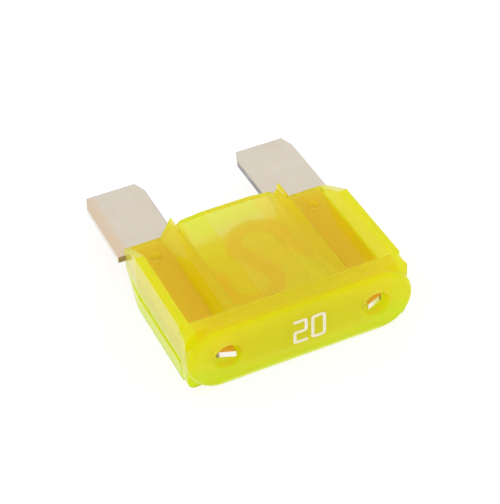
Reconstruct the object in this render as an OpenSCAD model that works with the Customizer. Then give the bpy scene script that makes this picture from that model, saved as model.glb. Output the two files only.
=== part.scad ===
// Automotive blade fuse of the large pattern: one moulded see-through housing over one stamped strip.
// x runs across the two blades, y from the head's face to the blade tips, z through the thickness.
// The shapes are drawn about the blades' mid-plane with y = 0 on the head's face. in_place() then
// lays the fuse flat, with its origin under the middle of its outline.

/* [Overall] */
// Length from the head's face to the blade tips
total_len = 34.3; // [31:0.1:42]
// Length of the housing, from the head's face to the end that the blades leave
housing_len = 21.6; // [18:0.1:25]
// Width of the head
head_w = 29.2; // [28.6:0.1:35.1]
// Thickness of the head
head_t = 8.6; // [7.1:0.1:10.4]

/* [Head] */
// Depth of the round-ended slab at the front
head_len = 1.25; // [0.9:0.05:1.6]
// Rounding round the rim of the head's face
head_round = 0.65; // [0.3:0.05:0.8]
// Depth of the square-ended shoulder behind the head
shoulder_len = 1.75; // [1.4:0.05:2.2]
// Step in from the head's side to the shoulder's
shoulder_inset = 0.25; // [0.1:0.05:0.5]
// Rounding of the shoulder's four long edges
shoulder_round = 1.0; // [0.4:0.05:1.2]

/* [Body] */
// Step in from the shoulder's side to the body's
body_inset = 0.1; // [0.05:0.05:0.3]
// Step down from the head's top to the shoulder and the rims
rim_drop = 0.05; // [0.05:0.05:0.2]
// Width of each side rim
rim_w = 1.2; // [1:0.05:1.5]
// Length of the ramp that ends each side rim
ramp_len = 5.3; // [4:0.1:6.5]
// Step in of the body's side along that ramp
ramp_inset = 0.55; // [0.3:0.05:0.65]
// Thickness of plastic over the blades, in the recess beside each rim
floor_t = 1.0; // [0.8:0.05:1.2]
// Height of the mould's parting line, below the blades' mid-plane
parting_z = 1.65; // [1.2:0.05:2]
// Step out of the side below the parting line
parting_step = 0.15; // [0.05:0.05:0.15]
// Bare side between the parting step and the open end
parting_gap = 2.2; // [1:0.1:3]

/* [Link cover] */
// Drop from the rims' top to the flat panel over the link
panel_drop = 0.8; // [0.6:0.05:1.2]
// Width of the flat panel
panel_w = 6.5; // [5:0.1:8]
// Width of the cover's top, with its two gentle slopes
cover_w = 13.2; // [12:0.1:14]
// Fall of those slopes, from the panel to the cover's shoulders
cover_fall = 0.35; // [0.2:0.05:0.5]
// Width of the cover where it meets the recess floors
cover_base_w = 17.8; // [17.4:0.1:18.6]
// Width of the cover at its shoulders, where the steep flanks start
cover_shoulder_w = 15.9; // [15.2:0.1:16.4]
// Height of the fins above the cover's shoulders
fin_h = 1.0; // [0.5:0.05:1.1]
// Length of the fins, which fall away towards the head
fin_len = 7.3; // [5:0.1:9]
// Width of the step between the groove's edge and a fin's inner side
fin_step = 0.2; // [0.1:0.05:0.3]
// Depth of the groove between the cover and each fin
groove_d = 0.4; // [0.2:0.05:0.5]
// Length of that groove
groove_len = 5; // [3:0.1:7]
// Wall of the cover over the link chamber
cover_wall = 1.0; // [0.8:0.05:1.2]

/* [Strip] */
// Width of each blade
blade_w = 8.0; // [7:0.1:9.6]
// Thickness of the blades
blade_t = 0.8; // [0.6:0.02:1]
// Step in from the head's side to the blades' outer edges
blade_inset = 0.04; // [0:0.01:0.1]
// Width of the slanted corners at a blade's tip
tip_w = 0.7; // [0.4:0.05:1.2]
// Length of the slanted corners at a blade's tip
tip_len = 1.9; // [1:0.1:2.5]
// Step in from a blade's outer edge to the web's, which leaves the seat
seat_w = 1.46; // [1.3:0.02:1.7]
// Gap between the strip's faces and the housing
slot_gap = 0.1; // [0.05:0.01:0.15]
// Depth of the head's end wall, behind which the webs lie
front_wall = 4.4; // [4:0.1:5]

/* [Test points] */
// Distance between the test windows' middles
window_pitch = 19.3; // [18.5:0.1:20]
// Diameter of a test window
window_d = 3.5; // [3.2:0.1:3.6]
// Depth of a test window
window_depth = 1.5; // [1.2:0.05:1.8]
// Width of the test tab behind a window
tab_w = 2.6; // [2:0.1:3.2]
// Step out from a window's middle to its tab's
tab_offset = 0.25; // [0:0.05:0.4]
// Depth of a tab's nearest point under the head's face
tab_depth = 0.1; // [0.05:0.05:0.4]
// Slope of a tab's end, in degrees
tab_slope = 22; // [15:1:30]
// Width of the slanted corner at a tab's outer end
corner_w = 0.5; // [0.2:0.05:0.8]
// Length of the slanted corner at a tab's outer end
corner_len = 0.8; // [0.2:0.05:1]

/* [Fusible link] */
// Radius of the link's two bends, to the middle of the track
link_r = 3.1; // [2.4:0.05:3.2]
// Width of the link's track
link_w = 1.8; // [1:0.05:2]
// Thickness of the thinned link
link_t = 0.5; // [0.3:0.02:0.6]
// Lean of the link's middle leg
link_lean = 1.15; // [0:0.05:1.5]
// Free room between each bend and the end of the link chamber
link_clear = 1.35; // [0.6:0.05:2]
// Length of the straight leg from a bend to its neck
leg_len = 2.4; // [1.5:0.1:3]
// Length of the slanted neck where a leg widens into its web, along the web
neck_len = 5; // [3:0.1:6]
// Fall of the neck's upper edge from the leg to the web
neck_fall = 0.6; // [0.2:0.1:1.5]
// Gap between a bend and the web beside it
link_side_gap = 1.0; // [0.6:0.05:1.2]
// Gap between a bend and the side of the link chamber
chamber_gap = 0.4; // [0.2:0.05:0.6]

/* [Stakes] */
// Distance between the stakes' middles
stake_pitch = 21.5; // [21:0.1:22]
// Distance from the housing's open end to the stakes
stake_back = 3.0; // [2.4:0.1:4]
// Diameter of the hole in the strip
stake_hole_d = 1.3; // [1.0:0.1:2]
// Gap round the stake in its hole
stake_gap = 0.1; // [0.05:0.01:0.15]
// Diameter of the tool's dimple over a stake
dimple_d = 1.5; // [1.2:0.1:1.8]
// Depth of that dimple
dimple_h = 0.45; // [0.3:0.05:0.6]
// Rise of the dimple's floor towards its middle
dimple_rise = 0.15; // [0:0.05:0.25]

/* [Hidden] */
$fn = 96;
eps = 0.01;
head_r = head_t / 2;
head_x = head_w / 2;
shoulder_x = head_x - shoulder_inset;
rim_z = head_r - rim_drop;
body_y = head_len + shoulder_len;
body_x = shoulder_x - body_inset;
rim_x = body_x - rim_w;
end_x = body_x - ramp_inset;
ramp_y = housing_len - ramp_len;
slot_z = blade_t / 2 + slot_gap;
floor_z = slot_z + floor_t;
panel_z = rim_z - panel_drop;
cover_z = panel_z - cover_fall;
chamber_z = cover_z - cover_wall;
// The flanks' slope, as sideways travel for each unit of height
flank = (cover_base_w - cover_shoulder_w) / 2 / (cover_z - floor_z);
fin_z = cover_z + fin_h;
fin_x = cover_shoulder_w / 2 - flank * fin_h;
blade_out = head_x - blade_inset;
blade_in = blade_out - blade_w;
web_out = blade_out - seat_w;
slot_x = web_out + slot_gap;
window_x = window_pitch / 2;
tab_x = window_x + tab_offset;
stake_x = stake_pitch / 2;
stake_y = housing_len - stake_back;
// The link's two bends lie point by point opposite each other about the chamber's middle
link_y = (front_wall + housing_len) / 2;
link_rise = (housing_len - front_wall) / 2 - link_clear - link_r - link_w / 2;
// The middle leg leans only as far as a straight line still joins the two bends
lean = min(link_lean, link_r - sqrt(max(0, link_r * link_r - pow(0.9 * link_rise, 2))));
bend_x = link_r - lean;
leg_x = bend_x + link_r;
bend_far = norm([bend_x, link_rise]);
leg_angle = atan2(link_rise, bend_x) + asin(link_r / bend_far);
leg_reach = sqrt(bend_far * bend_far - link_r * link_r);
chamber_x = leg_x + link_w / 2 + chamber_gap;
web_in = max(blade_in, leg_x + link_w / 2 + link_side_gap);
root_y = link_y + link_rise - leg_len;

// Moves a shape from the blades' mid-plane to where the fuse lies
module in_place() {
    translate([0, -total_len / 2, head_r]) children();
}

// Draws a flat outline of x and z, and runs it from y0 to y1
module along_y(y0, y1) {
    translate([0, y1, 0]) rotate([90, 0, 0]) linear_extrude(y1 - y0) children();
}

// Draws a flat outline of y and z, and runs it from x0 to x1
module along_x(x0, x1) {
    translate([x0, 0, 0]) rotate([90, 0, 90]) linear_extrude(x1 - x0) children();
}

// Draws a flat outline of x and y, and runs it through the thickness t about the mid-plane
module through(t) {
    translate([0, 0, -t / 2]) linear_extrude(t) children();
}

// Repeats a shape on the left and the right
module both_sides() {
    children();
    mirror([1, 0, 0]) children();
}

// Repeats a shape over and under the blades
module both_faces() {
    children();
    mirror([0, 0, 1]) children();
}

// A rectangle about the origin with rounded corners
module rounded_rect(w, h, r) {
    square([w - 2 * r, h], center = true);
    square([w, h - 2 * r], center = true);
    for (x = [-1, 1], y = [-1, 1]) translate([x * (w / 2 - r), y * (h / 2 - r)]) circle(r);
}

// Round-ended slab whose front edge is rounded: two turned ends and a straight middle
module head() {
    straight = head_x - head_r;
    both_sides() translate([straight, 0, 0]) rotate([-90, 0, 0]) rotate_extrude() {
        square([head_r - head_round, head_len]);
        translate([0, head_round]) square([head_r, head_len - head_round]);
        intersection() {
            translate([head_r - head_round, head_round]) circle(head_round);
            square(head_r);
        }
    }
    along_x(-straight, straight) {
        translate([0, -head_r + head_round]) square([head_len, head_t - 2 * head_round]);
        translate([head_round, -head_r]) square([head_len - head_round, head_t]);
        for (s = [-1, 1]) translate([head_round, s * (head_r - head_round)]) circle(head_round);
    }
}

// Square-ended shoulder between the head and the body
module shoulder() {
    along_y(head_len - eps, body_y) rounded_rect(2 * shoulder_x, 2 * rim_z, shoulder_round);
}

// Outline of the body seen from the head: rims, recess floors, and the raised cover over the link
module body_section() {
    half = [
        [0, panel_z], [panel_w / 2, panel_z], [cover_w / 2, cover_z], [cover_shoulder_w / 2, cover_z],
        [cover_base_w / 2, floor_z], [rim_x, floor_z], [rim_x, rim_z], [body_x, rim_z]
    ];
    n = len(half);
    polygon([
        for (i = [0 : n - 1]) half[i],
        for (i = [n - 1 : -1 : 0]) [half[i][0], -half[i][1]],
        for (i = [1 : n - 1]) -half[i],
        for (i = [n - 1 : -1 : 1]) [-half[i][0], half[i][1]]
    ]);
}

// The body's plan, which narrows beside the ramps
module body_plan() {
    polygon([
        [-body_x, body_y - eps], [body_x, body_y - eps], [body_x, ramp_y], [end_x, housing_len],
        [-end_x, housing_len], [-body_x, ramp_y]
    ]);
}

// Side view of what a ramp takes off the end of a rim
module ramp_cut() {
    both_sides() along_x(rim_x - eps, body_x + 1)
        polygon([[ramp_y, rim_z], [housing_len, floor_z], [housing_len + 1, floor_z], [housing_len + 1, rim_z + 1],
            [ramp_y, rim_z + 1]]);
}

// A fin beside the cover: its flank goes on up to a ridge that falls away towards the head
module fin() {
    inner_x = cover_w / 2 + fin_step;
    outer_x = cover_shoulder_w / 2;
    root_z = cover_z - fin_h / 2;
    intersection() {
        along_y(housing_len - fin_len, housing_len)
            polygon([[inner_x, root_z], [inner_x, cover_z], [fin_x, fin_z], [outer_x, cover_z], [outer_x, root_z]]);
        along_x(0, body_x)
            polygon([[housing_len - fin_len, cover_z], [housing_len, fin_z], [housing_len, 0],
                [housing_len - fin_len, 0]]);
    }
}

// Groove between the cover's edge and a fin, which deepens towards the open end
module groove() {
    top = 2 * groove_d;
    translate([cover_w / 2, housing_len - groove_len, cover_z]) rotate([-90 - atan2(groove_d, groove_len), 0, 0])
        linear_extrude(groove_len + 1) polygon([[0, 0], [top, -top], [-top, -top]]);
}

// Ledge along the mould's parting line, low on each side
module parting_ledge() {
    end_y = housing_len - parting_gap;
    low = rim_z - shoulder_round / 2;
    difference() {
        both_sides() translate([0, 0, -low]) linear_extrude(low - parting_z)
            polygon([[rim_x, body_y - eps], [body_x + parting_step, body_y - eps],
                [body_x + parting_step, ramp_y], [body_x - ramp_inset / 2, end_y], [rim_x, end_y]]);
        mirror([0, 0, 1]) ramp_cut();
    }
}

// Flat outline of one half of the strip without its link: tab, web, seat and blade
module half_strip_plan() {
    tab_in = tab_x - tab_w / 2;
    tab_out = tab_x + tab_w / 2;
    corner_y = tab_depth + (tab_w - corner_w) * tan(tab_slope);
    polygon([
        [tab_in, tab_depth], [tab_out - corner_w, corner_y], [tab_out, corner_y + corner_len],
        [tab_out, front_wall - 1],
        [web_out, front_wall + 1], [web_out, housing_len], [blade_out, housing_len],
        [blade_out, total_len - tip_len], [blade_out - tip_w, total_len], [blade_in + tip_w, total_len],
        [blade_in, total_len - tip_len], [blade_in, housing_len], [web_in, housing_len - link_clear],
        [web_in, front_wall + slot_gap], [tab_in, front_wall + slot_gap]
    ]);
}

// Half of the S-shaped track: one bend, its straight leg and its neck. The other half is the same
// shape turned by half a turn about the chamber's middle.
module half_link_plan() {
    bend_y = link_y + link_rise;
    translate([bend_x, bend_y]) intersection() {
        difference() {
            circle(link_r + link_w / 2);
            circle(link_r - link_w / 2);
        }
        union() {
            translate([-2 * link_r, 0]) square([4 * link_r, 2 * link_r]);
            polygon([[0, 0], [-3 * link_r, 0], 3 * link_r * [cos(leg_angle + 90), sin(leg_angle + 90)]]);
        }
    }
    translate([0, link_y]) rotate(leg_angle) translate([-eps, -link_w / 2]) square([leg_reach + 2 * eps, link_w]);
    translate([leg_x - link_w / 2, root_y]) square([link_w, leg_len + eps]);
    polygon([
        [leg_x - link_w / 2, root_y + eps], [leg_x + link_w / 2, root_y + eps], [web_in + eps, root_y - neck_fall],
        [web_in + eps, root_y - neck_len]
    ]);
}

// Space in the housing for the strip, with the chamber round the link
module cavity() {
    tab_half = tab_w / 2 + slot_gap;
    through(2 * slot_z) {
        polygon([
            [-slot_x, housing_len + 1], [-slot_x, front_wall + 1], [-tab_x - tab_half, front_wall - 1],
            [-tab_x - tab_half, front_wall], [tab_x + tab_half, front_wall], [tab_x + tab_half, front_wall - 1],
            [slot_x, front_wall + 1], [slot_x, housing_len + 1]
        ]);
        for (s = [-1, 1]) translate([s * tab_x - tab_half, -1])
            square([2 * tab_half, front_wall + eps + 1]);
    }
    along_y(front_wall, housing_len + 1)
        square([2 * chamber_x, 2 * chamber_z], center = true);
}

// Round test window in the head's face, down to the strip's tab
module test_window() {
    translate([window_x, -1, 0]) rotate([-90, 0, 0]) cylinder(d = window_d, h = 1 + window_depth);
}

// Plastic driven through the strip's hole, with the tool's dimple over and under it
module stake() {
    translate([stake_x, stake_y, -slot_z - eps])
        cylinder(d = stake_hole_d - 2 * stake_gap, h = 2 * (slot_z + eps));
}

module dimple() {
    both_faces() translate([stake_x, stake_y, floor_z - dimple_h]) rotate_extrude()
        polygon([[0, dimple_rise], [dimple_d / 4, 0], [dimple_d / 2, dimple_h], [dimple_d / 2, dimple_h + 1],
            [0, dimple_h + 1]]);
}

// One moulding: head, shoulder, body with rims, recesses, link cover and fins, hollow inside
module housing() {
    color([0.88, 0.85, 0.12, 0.8]) in_place() {
        difference() {
            union() {
                head();
                shoulder();
                difference() {
                    intersection() {
                        along_y(body_y - eps, housing_len) body_section();
                        through(2 * rim_z) body_plan();
                    }
                    both_faces() ramp_cut();
                }
                parting_ledge();
                both_sides() both_faces() fin();
            }
            both_sides() both_faces() groove();
            cavity();
            both_sides() test_window();
            both_sides() dimple();
        }
        both_sides() stake();
    }
}

// One stamping: both blades, their webs and test tabs, joined by the thinned S-shaped link
module fuse_strip() {
    color([0.80, 0.78, 0.74]) in_place() {
        difference() {
            both_sides() through(blade_t) half_strip_plan();
            both_sides() translate([stake_x, stake_y, -blade_t])
                cylinder(d = stake_hole_d, h = 2 * blade_t);
        }
        through(link_t) {
            half_link_plan();
            translate([0, 2 * link_y]) rotate(180) half_link_plan();
        }
    }
}

housing();
fuse_strip();
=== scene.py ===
import math

import bpy
import numpy as np
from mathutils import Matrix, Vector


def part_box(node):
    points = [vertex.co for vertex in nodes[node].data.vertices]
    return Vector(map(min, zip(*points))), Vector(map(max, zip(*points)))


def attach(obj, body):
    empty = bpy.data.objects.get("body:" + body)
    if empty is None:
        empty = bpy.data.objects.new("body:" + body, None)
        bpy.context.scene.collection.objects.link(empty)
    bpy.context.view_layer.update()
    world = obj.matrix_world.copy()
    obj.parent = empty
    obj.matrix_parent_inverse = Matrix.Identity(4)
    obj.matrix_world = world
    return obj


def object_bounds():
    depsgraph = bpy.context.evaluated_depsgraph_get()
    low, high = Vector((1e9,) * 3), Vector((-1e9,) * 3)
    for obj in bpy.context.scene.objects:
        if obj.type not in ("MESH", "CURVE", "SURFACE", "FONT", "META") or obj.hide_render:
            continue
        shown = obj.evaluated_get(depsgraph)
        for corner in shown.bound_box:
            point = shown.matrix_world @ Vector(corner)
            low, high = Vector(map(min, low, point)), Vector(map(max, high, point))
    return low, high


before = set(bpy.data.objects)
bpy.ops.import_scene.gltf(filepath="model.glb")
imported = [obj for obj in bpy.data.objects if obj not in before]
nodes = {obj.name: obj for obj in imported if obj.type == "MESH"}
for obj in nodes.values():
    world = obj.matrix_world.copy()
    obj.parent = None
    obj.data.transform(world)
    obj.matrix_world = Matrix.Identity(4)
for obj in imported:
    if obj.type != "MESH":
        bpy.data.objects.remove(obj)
cad_low, cad_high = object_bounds()
scene = bpy.context.scene

# --------------------------------------------------------------------------------------------------
# Camera: a long lens that looks down over the left corner of the head, so that the face with the
# number, the left end and both blades show. It shifts a little to set the fuse in the frame.
# --------------------------------------------------------------------------------------------------

long_lens = bpy.data.cameras.new("long_lens")
long_lens.sensor_fit = "HORIZONTAL"
long_lens.sensor_width = 36.0
long_lens.lens = 117.57
long_lens.shift_x = 0.0084
long_lens.shift_y = 0.0017
long_lens.clip_start = 0.01
long_lens.clip_end = 10.0
camera = bpy.data.objects.new("camera", long_lens)
camera.location = (-0.06056, -0.14134, 0.13488)
camera.rotation_euler = [math.radians(turn) for turn in (49.373, 2.069, -25.159)]
scene.collection.objects.link(camera)
scene.camera = camera


# --------------------------------------------------------------------------------------------------
# Fuse strip: one stamping of zinc alloy with a thin satin finish of tin. Its blades are bare, with
# paler cut edges and painted shade along their corners, inner sides and seat ends; the webs and the
# thinned S-shaped link inside the housing are copper coloured, and its two test tabs end bright in
# the housing's windows, each with painted shade on one outer corner.
# --------------------------------------------------------------------------------------------------


def node_adder(tree):
    """The function that adds one node of a kind to this tree, with its input values or links."""
    tree.nodes.clear()

    def add(kind, values=None, **settings):
        node = tree.nodes.new(kind)
        for key, value in settings.items():
            setattr(node, key, value)
        for key, value in (values or {}).items():
            if isinstance(value, bpy.types.NodeSocket):
                tree.links.new(value, node.inputs[key])
            else:
                node.inputs[key].default_value = value
        return node

    return add


def start_material(name):
    """A new material, and the function that adds a node to it."""
    material = bpy.data.materials.new(name)
    material.use_nodes = True
    return material, node_adder(material.node_tree)


def noise(add, where, scale, detail, roughness):
    """A cloudy pattern between 0 and 1, with that many waves in a metre."""
    return add("ShaderNodeTexNoise", {"Vector": where, "Scale": scale, "Detail": detail,
                                      "Roughness": roughness}).outputs["Fac"]


def axes(add, vector):
    """The x, y and z of a vector."""
    return add("ShaderNodeSeparateXYZ", {"Vector": vector}).outputs[:3]


def reckon(add, operation, first, second=0.0):
    """One step of arithmetic on two numbers, each given as a number or as a node's output."""
    return add("ShaderNodeMath", {0: first, 1: second}, operation=operation).outputs[0]


def both(add, first, second):
    """The product of two masks: it is full only where both are full."""
    return reckon(add, "MULTIPLY", first, second)


def either(add, first, second):
    """The larger of two masks."""
    return reckon(add, "MAXIMUM", first, second)


def ramp(add, value, start, end, low=0.0, high=1.0):
    """Goes smoothly from low to high while the value goes from start to end."""
    return add("ShaderNodeMapRange", {"Value": value, "From Min": start, "From Max": end, "To Min": low,
                                      "To Max": high}, interpolation_type="SMOOTHSTEP").outputs["Result"]


def between(add, share, first, second):
    """Mixes two numbers, each given as a number or as a node's output."""
    return add("ShaderNodeMix", {0: share, 2: first, 3: second}).outputs[0]


def blend(add, share, first, second):
    """Mixes two colours, each given as three numbers or as a node's output."""
    first, second = [(*c, 1.0) if isinstance(c, tuple) else c for c in (first, second)]
    return add("ShaderNodeMix", {0: share, 6: first, 7: second}, data_type="RGBA").outputs[2]


# Places along the fuse: the head's face, the windows' floors and the housing's open end. Places
# across it: a window's middle, the housing's side at that end, and a blade's two sides.
mm = 0.001
face = cad_low[1]
window_floor = face + 1.5 * mm
open_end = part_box("housing")[1].y
window_x = 9.65 * mm
seat_x = 13.7 * mm
blade_outer, blade_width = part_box("fuse_strip")[1].x, 8.0 * mm
blade_inner = blade_outer - blade_width

dull_tin, clear_tin = (0.65, 0.585, 0.49), (0.74, 0.67, 0.575)
grey_bloom, warm_bloom, brown_tin = (0.65, 0.63, 0.57), (0.68, 0.57, 0.46), (0.71, 0.57, 0.42)
cut_metal, painted_edge_shade, seat_shade_brown = (0.79, 0.745, 0.68), (0.16, 0.16, 0.19), (0.41, 0.28, 0.21)
web_copper, web_bronze = (0.82, 0.48, 0.16), (0.91, 0.57, 0.22)
link_copper, tab_brass = (0.97, 0.41, 0.31), (0.90, 0.64, 0.17)
bright_end, tab_shade_brown = (0.93, 0.89, 0.82), (0.37, 0.28, 0.19)

metal, add = start_material("tin_finished_zinc")
coordinates = add("ShaderNodeTexCoord")
place = coordinates.outputs["Object"]
across, along = axes(add, place)[:2]
from_middle = reckon(add, "ABSOLUTE", across)
facing = add("ShaderNodeVectorMath", {0: coordinates.outputs["Normal"]}, operation="ABSOLUTE").outputs[0]
facing_up = axes(add, facing)[2]
rolling = add("ShaderNodeMapping", {"Vector": place, "Scale": (1400, 260, 1400)}).outputs["Vector"]
grain = noise(add, rolling, scale=1.0, detail=4.0, roughness=0.6)
cloud = noise(add, place, scale=320.0, detail=5.0, roughness=0.6)
bloom = noise(add, place, scale=210.0, detail=3.0, roughness=0.5)

# The flats: a cloudy tin with grey and warm blooms, browner beside the left blade's outer edge.
tin = blend(add, cloud, dull_tin, clear_tin)
tin = blend(add, ramp(add, bloom, 0.40, 0.25, high=0.5), tin, grey_bloom)
tin = blend(add, ramp(add, bloom, 0.60, 0.74, high=0.35), tin, warm_bloom)
left_edge_side = ramp(add, across, 2.16 * mm - blade_outer, 0.76 * mm - blade_outer)
tin = blend(add, both(add, left_edge_side, ramp(add, bloom, 0.20, 0.60, low=0.6)), tin, brown_tin)

# The cut edges, with painted shade as a dark line along the blades' corners and their inner sides.
cut = ramp(add, facing_up, 0.6, 0.4)
tin = blend(add, cut, tin, cut_metal)
rounded = add("ShaderNodeBevel", {"Radius": 0.2 * mm}, samples=8).outputs["Normal"]
flat = add("ShaderNodeNewGeometry").outputs["Normal"]
corner = add("ShaderNodeVectorMath", {0: rounded, 1: flat}, operation="DOT_PRODUCT").outputs["Value"]
inner_side = both(add, cut, ramp(add, from_middle, blade_inner + 0.19 * mm, blade_inner + 0.09 * mm))
edge_shade = either(add, ramp(add, corner, 0.995, 0.90, high=0.6), inner_side)
within = ramp(add, from_middle, blade_outer - 0.26 * mm, blade_outer - 0.66 * mm)
beyond = ramp(add, along, open_end + 0.05 * mm, open_end + 0.15 * mm)
edge_shade = both(add, edge_shade, both(add, within, beyond))
edge_shade = both(add, edge_shade, ramp(add, grain, 0.35, 0.55, low=0.6, high=0.9))
tin = blend(add, edge_shade, tin, painted_edge_shade)
# Painted shade: the seat's end face at the housing's open end, outside the webs, darkens brown.
past_seat = ramp(add, from_middle, seat_x - 0.02 * mm, seat_x + 0.03 * mm)
seat_shade = both(add, past_seat, ramp(add, along, open_end + 0.17 * mm, open_end + 0.07 * mm))
tin = blend(add, seat_shade, tin, seat_shade_brown)

# The tabs' ends in the windows: bright, with painted shade on the outer corner.
tab_end = both(add, cut, ramp(add, along, window_floor + 0.85 * mm, window_floor + 0.05 * mm))
tin = blend(add, tab_end, tin, bright_end)
tab_corner_shade = both(add, tab_end, ramp(add, from_middle, window_x + 0.70 * mm, window_x + 0.85 * mm))
tin = blend(add, tab_corner_shade, tin, tab_shade_brown)

# Everything that the housing covers: copper, redder on the link and brassy on the tabs.
copper = blend(add, cloud, web_copper, web_bronze)
on_link = ramp(add, from_middle, blade_inner + 0.04 * mm, blade_inner - 0.56 * mm)
copper = blend(add, on_link, copper, link_copper)
on_tabs = ramp(add, along, window_floor + 1.65 * mm, window_floor + 0.65 * mm)
copper = blend(add, on_tabs, copper, tab_brass)
covered = both(add, ramp(add, along, open_end + 0.35 * mm, open_end - 0.45 * mm),
               ramp(add, tab_end, 0.8, 0.2))
covered = both(add, covered, ramp(add, from_middle, seat_x + 0.03 * mm, seat_x - 0.02 * mm))

satin = ramp(add, grain, 0.0, 1.0, low=0.42, high=0.60)
cut_gloss = 0.28
bump = add("ShaderNodeBump", {"Height": grain, "Strength": 0.18, "Distance": 0.02 * mm}).outputs["Normal"]
surface = add("ShaderNodeBsdfPrincipled", {"Base Color": blend(add, covered, tin, copper), "Metallic": 0.75,
                                           "Roughness": between(add, cut, satin, cut_gloss), "Normal": bump})
add("ShaderNodeOutputMaterial", {"Surface": surface.outputs[0]})

strip = nodes["fuse_strip"]
strip.data.materials.clear()
strip.data.materials.append(metal)


# --------------------------------------------------------------------------------------------------
# Housing: one moulding in see-through yellow polymer, slightly hazy, glossy from a polished mould.
# Its colour is in the whole thickness: thin walls are lemon and long ways through it turn amber. Its
# surface colour also holds painted light: amber where the metal behind shows, lime on the low parts
# for the floor's light, a paler face, a whitish sheen on the panel, orange in the windows, and painted
# shade on the stakes.
# --------------------------------------------------------------------------------------------------

# Each name with x is a place across the fuse, and the recess's floor and the chamber's top are
# measured from the middle of the blades' thickness.
mid_z = (cad_low[2] + cad_high[2]) / 2
shoulder_back = face + 3.0 * mm
rim_inner = 13.05 * mm
slot_x = 13.2 * mm
recess_floor = 1.5 * mm
chamber_x, chamber_top = 6.35 * mm, 2.1 * mm
panel_x = 3.25 * mm
window_radius = 1.75 * mm
stake_x, stake_y = 10.75 * mm, open_end - 3.0 * mm

lemon_wall, lemon_rim, lifted_lemon = (0.89, 0.97, 0.18), (0.90, 0.94, 0.14), (0.97, 1.0, 0.17)
floor_lit_lime, floor_lit_end_lime, floor_lit_underside_lime = (0.74, 1.0, 0.16), (0.72, 0.98, 0.10), (0.80, 0.98, 0.05)
metal_light_amber, shoulder_light_amber = (0.97, 0.84, 0.24), (0.93, 0.78, 0.16)
panel_sheen_lemon, panel_sheen_rose = (0.90, 0.97, 0.42), (0.98, 0.82, 1.0)
hole_glow_orange, stake_shade_amber = (0.95, 0.55, 0.12), (0.93, 0.72, 0.26)
yellow_gloss, yellow_tint, yellow_haze = (1.0, 1.0, 0.2, 1), (0.990, 0.986, 0.64, 1), (1, 1, 0.12, 1)


def distance(add, first, second):
    """The distance from an axis: the root of the sum of two squared offsets."""
    offset = add("ShaderNodeCombineXYZ", {"X": first, "Y": second}).outputs[0]
    return add("ShaderNodeVectorMath", {0: offset}, operation="LENGTH").outputs["Value"]


plastic, add = start_material("see_through_yellow")
place = add("ShaderNodeTexCoord").outputs["Object"]
across, along, level = axes(add, place)
from_middle = reckon(add, "ABSOLUTE", across)
from_blades = reckon(add, "ABSOLUTE", reckon(add, "SUBTRACT", level, mid_z))
flow = noise(add, place, scale=260.0, detail=3.0, roughness=0.5)
fine = noise(add, place, scale=2600.0, detail=2.0, roughness=0.5)

# The inner walls: the slot for the webs, and the chamber round the link.
in_slot = both(add, ramp(add, from_blades, recess_floor - 0.04 * mm, recess_floor - 0.06 * mm),
               ramp(add, from_middle, slot_x + 0.15 * mm, slot_x + 0.10 * mm))
in_chamber = both(add, ramp(add, from_blades, chamber_top + 0.20 * mm, chamber_top + 0.18 * mm),
                  ramp(add, from_middle, chamber_x + 0.25 * mm, chamber_x + 0.20 * mm))
between_ends = both(add, ramp(add, along, open_end - 0.01 * mm, open_end - 0.03 * mm),
                    ramp(add, along, face + 0.03 * mm, face + 0.05 * mm))
inside = both(add, either(add, in_slot, in_chamber), between_ends)

# Lemon walls, with painted light: paler on the middle of the face, and lime at the foot and at the
# head's low ends for the light that comes in from the floor.
rims = ramp(add, from_middle, rim_inner - 0.05 * mm, rim_inner + 0.20 * mm)
lemon = blend(add, rims, lemon_wall, lemon_rim)
lifted_face = both(add, ramp(add, from_middle, 12.2 * mm, 10.8 * mm),
                ramp(add, along, face + 1.15 * mm, face + 0.15 * mm))
lemon = blend(add, lifted_face, lemon, lifted_lemon)
lemon = blend(add, ramp(add, level, 0.3 * mm, 3.0 * mm), floor_lit_lime, lemon)
floor_lit_end = both(add, ramp(add, from_middle, 6.0 * mm, 10.5 * mm),
               ramp(add, level, 4.5 * mm, 2.2 * mm, high=0.7))
floor_lit_end = both(add, floor_lit_end, ramp(add, along, face + 2.15 * mm, face + 0.65 * mm))
lemon = blend(add, floor_lit_end, lemon, floor_lit_end_lime)

# Painted light: amber where the metal behind shows through, on all but the cover's back left part,
# and less on the inner walls.
front_half = ramp(add, along, 1.8 * mm, -2.2 * mm)
over_webs = ramp(add, from_middle, 5.4 * mm, 7.2 * mm)
over_bend = ramp(add, across, 3.0 * mm, 3.6 * mm)
between_faces = both(add, ramp(add, along, face + 0.15 * mm, face + 0.55 * mm),
                     ramp(add, along, open_end - 0.05 * mm, open_end - 0.65 * mm))
between_rims = ramp(add, from_middle, rim_inner + 0.25 * mm, rim_inner - 0.45 * mm)
metal_light = either(add, either(add, front_half, over_webs), over_bend)
metal_light = both(add, both(add, metal_light, between_faces), between_rims)
metal_light = both(add, metal_light, ramp(add, inside, 0.0, 1.0, low=1.0, high=0.5))
on_shoulder = ramp(add, along, shoulder_back + 0.05 * mm, shoulder_back - 0.25 * mm)
skin = blend(add, metal_light, lemon, blend(add, on_shoulder, metal_light_amber, shoulder_light_amber))

# Painted light: a whitish sheen on the cover's flat panel, and lime on the body's underside for the
# light from the floor.
panel = both(add, ramp(add, from_middle, panel_x + 0.05 * mm, panel_x - 0.05 * mm),
             ramp(add, from_blades, 2.8 * mm, 3.0 * mm))
panel = both(add, panel, ramp(add, along, shoulder_back - 0.10 * mm, shoulder_back + 0.05 * mm))
skin = blend(add, panel, skin, blend(add, metal_light, panel_sheen_lemon, panel_sheen_rose))
floor_lit_underside = both(add, ramp(add, level, mid_z + 0.3 * mm, mid_z - 0.3 * mm, high=0.6),
                 ramp(add, along, face + 0.65 * mm, face + 1.65 * mm))
skin = blend(add, floor_lit_underside, skin, floor_lit_underside_lime)
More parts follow.
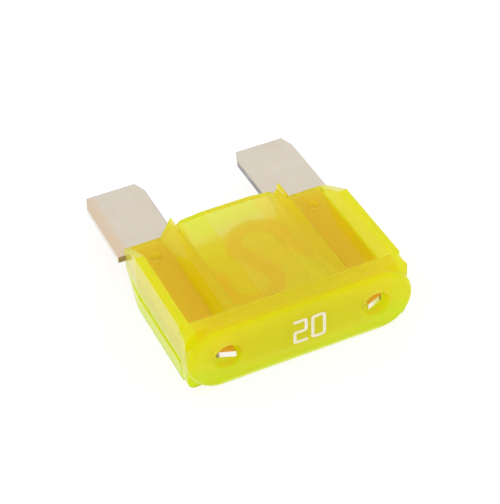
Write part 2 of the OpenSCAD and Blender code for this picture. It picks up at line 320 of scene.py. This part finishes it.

# Painted light: the windows' upper walls glow orange from the strip. Painted shade darkens the
# stakes to amber.
from_hole = distance(add, reckon(add, "SUBTRACT", from_middle, window_x), from_blades)
hole_glow = both(add, ramp(add, from_hole, window_radius + 0.07 * mm, window_radius + 0.03 * mm),
                 ramp(add, along, window_floor + 0.15 * mm, window_floor - 0.05 * mm))
hole_glow = both(add, hole_glow, ramp(add, level, mid_z - 0.3 * mm, mid_z + 0.7 * mm))
skin = blend(add, hole_glow, skin, hole_glow_orange)
from_stake = distance(add, reckon(add, "SUBTRACT", from_middle, stake_x),
                      reckon(add, "SUBTRACT", along, stake_y))
skin = blend(add, ramp(add, from_stake, 0.95 * mm, 0.70 * mm), skin, stake_shade_amber)

polish = ramp(add, flow, 0.0, 1.0, low=0.10, high=0.18)
inner_polish = 0.20
refraction = 1.46
tint_per_metre, haze_per_metre = 1600.0, 1000.0
soft_edge = add("ShaderNodeBevel", {"Radius": 0.1 * mm}, samples=6).outputs["Normal"]
bump = add("ShaderNodeBump", {"Height": reckon(add, "ADD", flow, fine), "Strength": 0.05,
                              "Distance": 0.04 * mm, "Normal": soft_edge}).outputs["Normal"]
surface = add("ShaderNodeBsdfPrincipled", {"Base Color": skin, "IOR": refraction, "Transmission Weight": 1.0,
                                           "Roughness": between(add, inside, polish, inner_polish),
                                           "Specular IOR Level": 0.25, "Specular Tint": yellow_gloss,
                                           "Normal": bump})
tint = add("ShaderNodeVolumeAbsorption", {"Color": yellow_tint, "Density": tint_per_metre})
haze = add("ShaderNodeVolumeScatter", {"Color": yellow_haze, "Density": haze_per_metre, "Anisotropy": 0.3})
body = add("ShaderNodeAddShader", {0: tint.outputs[0], 1: haze.outputs[0]})
add("ShaderNodeOutputMaterial", {"Surface": surface.outputs[0], "Volume": body.outputs[0]})

housing = nodes["housing"]
housing.data.materials.clear()
housing.data.materials.append(plastic)


# --------------------------------------------------------------------------------------------------
# Rating print: the plain number 20, for twenty amperes, in cream ink pad-printed on the head's
# face. Each digit is one stroke of even width that follows a squared line with small rounded
# corners, a few hundredths of a mm thick.
# --------------------------------------------------------------------------------------------------


def rounded_line(corners, radius, steps=7):
    """The line through the corners, where each inner corner P becomes a quarter circle.

    With a and b the directions into and out of the corner and t from 0 to 90 degrees, the quarter
    circle is P - r a (1 - sin t) + r b (1 - cos t).
    """
    corners = np.asarray(corners, dtype=float)
    ways = np.diff(corners, axis=0)
    ways /= np.linalg.norm(ways, axis=1)[:, None]
    turn = np.linspace(0, math.pi / 2, steps)[None, :, None]
    arcs = (corners[1:-1, None] - radius * ways[:-1, None] * (1 - np.sin(turn))
            + radius * ways[1:, None] * (1 - np.cos(turn)))
    return np.vstack([corners[:1], arcs.reshape(-1, 2), corners[-1:]])


def stroke(line, width, closed, face_y, low, high, end_steps=5, first_turn=0.35):
    """A flat band along a line of x and z: a rectangle of the band's width and height, carried along.

    At each point the band reaches half its width to both sides, square to the line. An open line's
    two ends are round: there the reach is half the width times sin t, and the point lies a third of
    the width times 1 - cos t further in, with t from the first turn to 90 degrees.
    """
    if closed:
        before, after = np.roll(line, 1, axis=0), np.roll(line, -1, axis=0)
        half = np.full(len(line), width / 2)
    else:
        round_off = np.linspace(first_turn, math.pi / 2, end_steps)
        start_way = (line[1] - line[0]) / np.linalg.norm(line[1] - line[0])
        end_way = (line[-1] - line[-2]) / np.linalg.norm(line[-1] - line[-2])
        step_in = (width / 3 * (1 - np.cos(round_off)))[:, None]
        start, end = line[0] + start_way * step_in, line[-1] - end_way * step_in[::-1]
        end_half = width / 2 * np.sin(round_off)
        half = np.concatenate([end_half, np.full(len(line) - 2, width / 2), end_half[::-1]])
        line = np.vstack([start, line[1:-1], end])
        before, after = np.vstack([line[:1], line[:-1]]), np.vstack([line[1:], line[-1:]])
    way = after - before
    way /= np.linalg.norm(way, axis=1)[:, None]
    side = np.stack([-way[:, 1], way[:, 0]], axis=1) * half[:, None]
    rings = np.empty((len(line), 4, 3))
    for ring, (out, rise) in enumerate([(1, low), (1, high), (-1, high), (-1, low)]):
        rings[:, ring, 0] = line[:, 0] + out * side[:, 0]
        rings[:, ring, 1] = face_y - rise
        rings[:, ring, 2] = line[:, 1] + out * side[:, 1]
    count = len(line)
    first = np.arange(count if closed else count - 1)[:, None]
    second = (first + 1) % count
    ring, next_ring = np.arange(4)[None, :], (np.arange(4)[None, :] + 1) % 4
    quads = np.stack([4 * first + ring, 4 * first + next_ring, 4 * second + next_ring, 4 * second + ring],
                     axis=-1)
    quads = quads.reshape(-1, 4)
    if not closed:
        last = 4 * (count - 1)
        quads = np.vstack([quads, [[3, 2, 1, 0]], [[last, last + 1, last + 2, last + 3]]])
    return rings.reshape(-1, 3), quads


ink_width, corner_radius = 0.40 * mm, 0.26 * mm
ink_sunk, ink_proud = -0.01 * mm, 0.03 * mm
digit_top, two_waist, digit_foot = mid_z + 1.68 * mm, mid_z + 0.08 * mm, mid_z - 1.45 * mm
two_left, two_right = -1.17 * mm, 0.33 * mm
two_start, two_end = two_left - 0.15 * mm, two_right + 0.20 * mm
nought_left, nought_right = 1.18 * mm, 2.70 * mm
nought_mid = (nought_left + nought_right) / 2
dull_cream, clear_cream = (0.78, 0.72, 0.50), (0.86, 0.81, 0.66)

two = rounded_line([(two_start, digit_top), (two_right, digit_top), (two_right, two_waist),
                    (two_left, two_waist), (two_left, digit_foot), (two_end, digit_foot)], corner_radius)
nought = rounded_line([(nought_mid, digit_top), (nought_right, digit_top), (nought_right, digit_foot),
                       (nought_left, digit_foot), (nought_left, digit_top), (nought_mid, digit_top)],
                      corner_radius)[:-1]
two_points, two_faces = stroke(two, ink_width, False, face, ink_sunk, ink_proud)
nought_points, nought_faces = stroke(nought, ink_width, True, face, ink_sunk, ink_proud)
points = np.vstack([two_points, nought_points])
faces = np.vstack([two_faces, nought_faces + len(two_points)])
print_mesh = bpy.data.meshes.new("rating_print")
print_mesh.from_pydata(points.tolist(), [], faces.tolist())
print_mesh.validate()

ink, add = start_material("cream_pad_ink")
place = add("ShaderNodeTexCoord").outputs["Object"]
cover = noise(add, place, scale=1500.0, detail=4.0, roughness=0.6)
colour = blend(add, ramp(add, cover, 0.30, 0.70), dull_cream, clear_cream)
matt_ink = ramp(add, cover, 0.0, 1.0, low=0.45, high=0.65)
bump = add("ShaderNodeBump", {"Height": cover, "Strength": 0.3, "Distance": 0.01 * mm}).outputs["Normal"]
surface = add("ShaderNodeBsdfPrincipled", {"Base Color": colour, "Roughness": matt_ink, "Normal": bump})
add("ShaderNodeOutputMaterial", {"Surface": surface.outputs[0]})

rating_print = bpy.data.objects.new("rating_print", print_mesh)
print_mesh.materials.append(ink)
scene.collection.objects.link(rating_print)
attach(rating_print, "root")


# --------------------------------------------------------------------------------------------------
# Stage: a white table top that runs out of sight, a plain white room, and one large warm lamp
# overhead, weak enough that the tin stays below white.
# --------------------------------------------------------------------------------------------------

matt_white, glow_share, glow_strength = (0.95, 0.95, 0.95, 1), 0.7, 1.06
table_top, add = start_material("white_table_top")
matt = add("ShaderNodeBsdfDiffuse", {"Color": matt_white})
glow = add("ShaderNodeEmission", {"Color": (1, 1, 1, 1), "Strength": glow_strength})
mixed = add("ShaderNodeMixShader", {0: glow_share, 1: matt.outputs[0], 2: glow.outputs[0]})
add("ShaderNodeOutputMaterial", {"Surface": mixed.outputs[0]})

reach = 3.0
floor_corners = [(-reach, -reach, 0), (reach, -reach, 0), (reach, reach, 0), (-reach, reach, 0)]
floor_mesh = bpy.data.meshes.new("table_top")
floor_mesh.from_pydata(floor_corners, [], [(0, 1, 2, 3)])
floor_mesh.materials.append(table_top)
floor = bpy.data.objects.new("table_top", floor_mesh)
scene.collection.objects.link(floor)

room = bpy.data.worlds.new("white_room")
room.use_nodes = True
add = node_adder(room.node_tree)
white = add("ShaderNodeBackground", {"Color": (1, 1, 1, 1), "Strength": 1.0})
add("ShaderNodeOutputWorld", {"Surface": white.outputs[0]})
scene.world = room

soft_box = bpy.data.lights.new("soft_box", "AREA")
soft_box.shape = "RECTANGLE"
soft_box.size = 1.6
soft_box.size_y = 1.3
soft_box.energy = 1.1
soft_box.color = (1.0, 0.95, 0.88)
lamp = bpy.data.objects.new("soft_box", soft_box)
lamp.location = (-0.15, -0.35, 0.8)
scene.collection.objects.link(lamp)

scene.view_settings.view_transform = "Standard"
scene.cycles.max_bounces = 64
scene.cycles.transmission_bounces = 64
scene.cycles.glossy_bounces = 32
scene.cycles.volume_bounces = 32
scene.cycles.blur_glossy = 0.0
